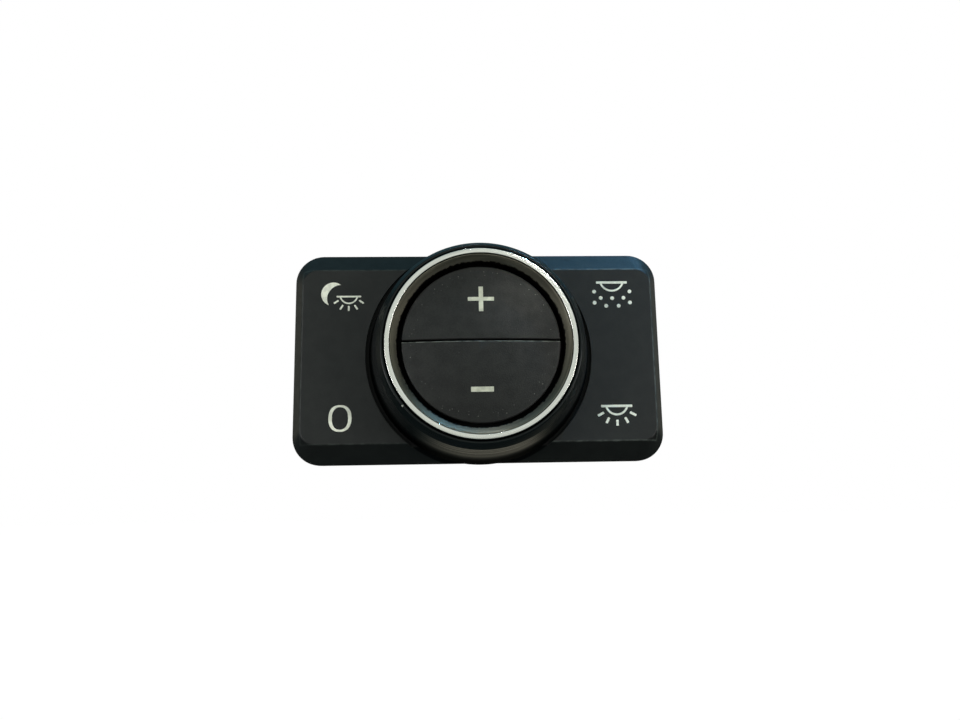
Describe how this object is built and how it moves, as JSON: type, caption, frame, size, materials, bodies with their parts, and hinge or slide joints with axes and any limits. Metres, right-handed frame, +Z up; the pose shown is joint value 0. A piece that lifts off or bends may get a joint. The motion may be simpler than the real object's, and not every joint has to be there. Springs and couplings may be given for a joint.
{
  "type": "rotary interior light switch",
  "caption": "Rotary interior light switch for a vehicle cab, with a bevelled faceplate and plus and minus dimmer buttons in the middle of the knob.",
  "frame": {"origin": "on the knob's axis, in the plane where the faceplate seats on the panel", "axes": "+X to the driver's right along the plate, +Y away from the driver into the panel, +Z up"},
  "size_m": [0.0854, 0.0457, 0.05],
  "materials": {
    "plate_plastic": "matte, finely textured",
    "knob_plastic": "satin, turned",
    "housing_plastic": "matte",
    "bright_plating": "polished",
    "satin_plating": "satin",
    "pale_plastic": "matte",
    "clear_plastic": "clear",
    "spring_steel": "satin",
    "slip_plastic": "matte",
    "board": "satin",
    "lamp_resin": "gloss",
    "chip_resin": "matte",
    "aluminium_can": "satin",
    "tinned_brass": "satin",
    "magnet_metal": "satin"
  },
  "bodies": {
    "housing": {"faceplate": "plate_plastic", "rear_housing": "housing_plastic", "centre_hub": "housing_plastic", "left_panel_clip": "spring_steel", "right_panel_clip": "spring_steel", "circuit_board": "board", "symbol_leds": "lamp_resin", "button_led": "lamp_resin", "button_light_rod": "clear_plastic", "left_light_guide": "clear_plastic", "right_light_guide": "clear_plastic", "plus_switch": "housing_plastic", "minus_switch": "housing_plastic", "hall_sensors": "chip_resin", "controller_chip": "chip_resin", "capacitors": "aluminium_can", "resistors": "chip_resin", "connector_header": "housing_plastic", "connector_pins": "tinned_brass", "hub_screws": "spring_steel", "board_screws": "spring_steel", "left_detent_spring": "spring_steel", "right_detent_spring": "spring_steel"},
    "knob": {"knob": "knob_plastic", "knob_sleeve": "housing_plastic", "friction_washer": "slip_plastic", "detent_ring": "slip_plastic", "position_magnet": "magnet_metal", "pointer_window": "pale_plastic", "trim_ring": "bright_plating", "inner_ring": "satin_plating"},
    "plus_button": {"plus_button": "plate_plastic", "plus_plunger": "slip_plastic"},
    "minus_button": {"minus_button": "plate_plastic", "minus_plunger": "slip_plastic"}
  },
  "joints": [
    {"name": "knob_turn", "type": "hinge", "parent": "housing", "child": "knob", "pos_m": [0, 0, 0], "axis": [0, 1, 0], "range_deg": [0, 257.2]},
    {"name": "plus_press", "type": "slide", "parent": "housing", "child": "plus_button", "axis": [0, 1, 0], "range_m": [0, 0.001], "stiffness_N_per_m": 1500, "springref_m": -0.0005},
    {"name": "minus_press", "type": "slide", "parent": "housing", "child": "minus_button", "axis": [0, 1, 0], "range_m": [0, 0.001], "stiffness_N_per_m": 1500, "springref_m": -0.0005}
  ]
}
